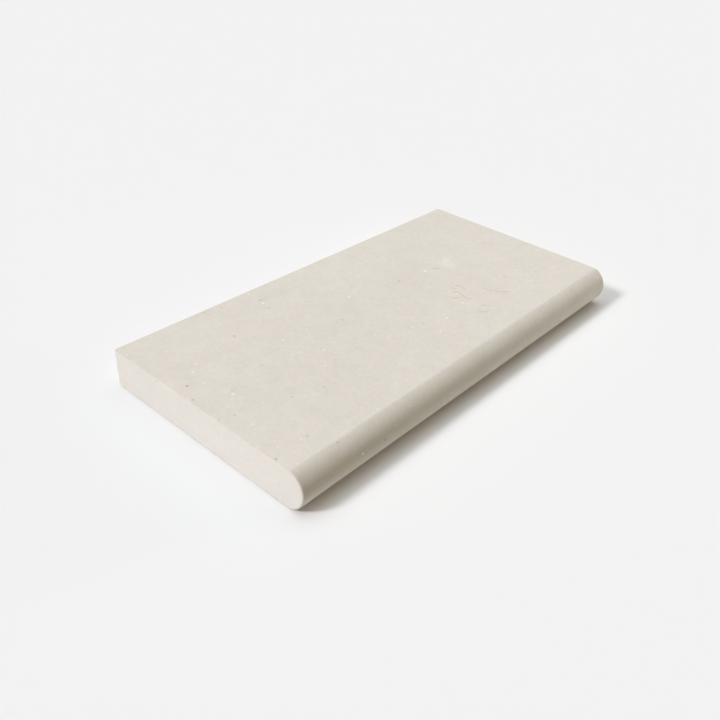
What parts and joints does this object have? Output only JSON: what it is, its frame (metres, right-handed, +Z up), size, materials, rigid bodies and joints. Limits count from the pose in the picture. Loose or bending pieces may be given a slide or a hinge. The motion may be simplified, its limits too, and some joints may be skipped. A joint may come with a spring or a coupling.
{
  "type": "bullnose tile",
  "caption": "Flat rectangular slab of pale limestone with a long edge rounded to a full half round, laid as the edge of a step, pool or sill.",
  "frame": {"origin": "on the bed, the flat underside, under the middle of the tile's length and width", "axes": "+X along the rounded edge, +Y across the tile from the rounded edge to the square back edge, +Z up out of the face that is walked on"},
  "size_m": [0.6, 0.3, 0.05],
  "materials": {
    "limestone": "matte"
  },
  "bodies": {
    "root": {"bullnose_tile": "limestone"}
  },
  "joints": []
}
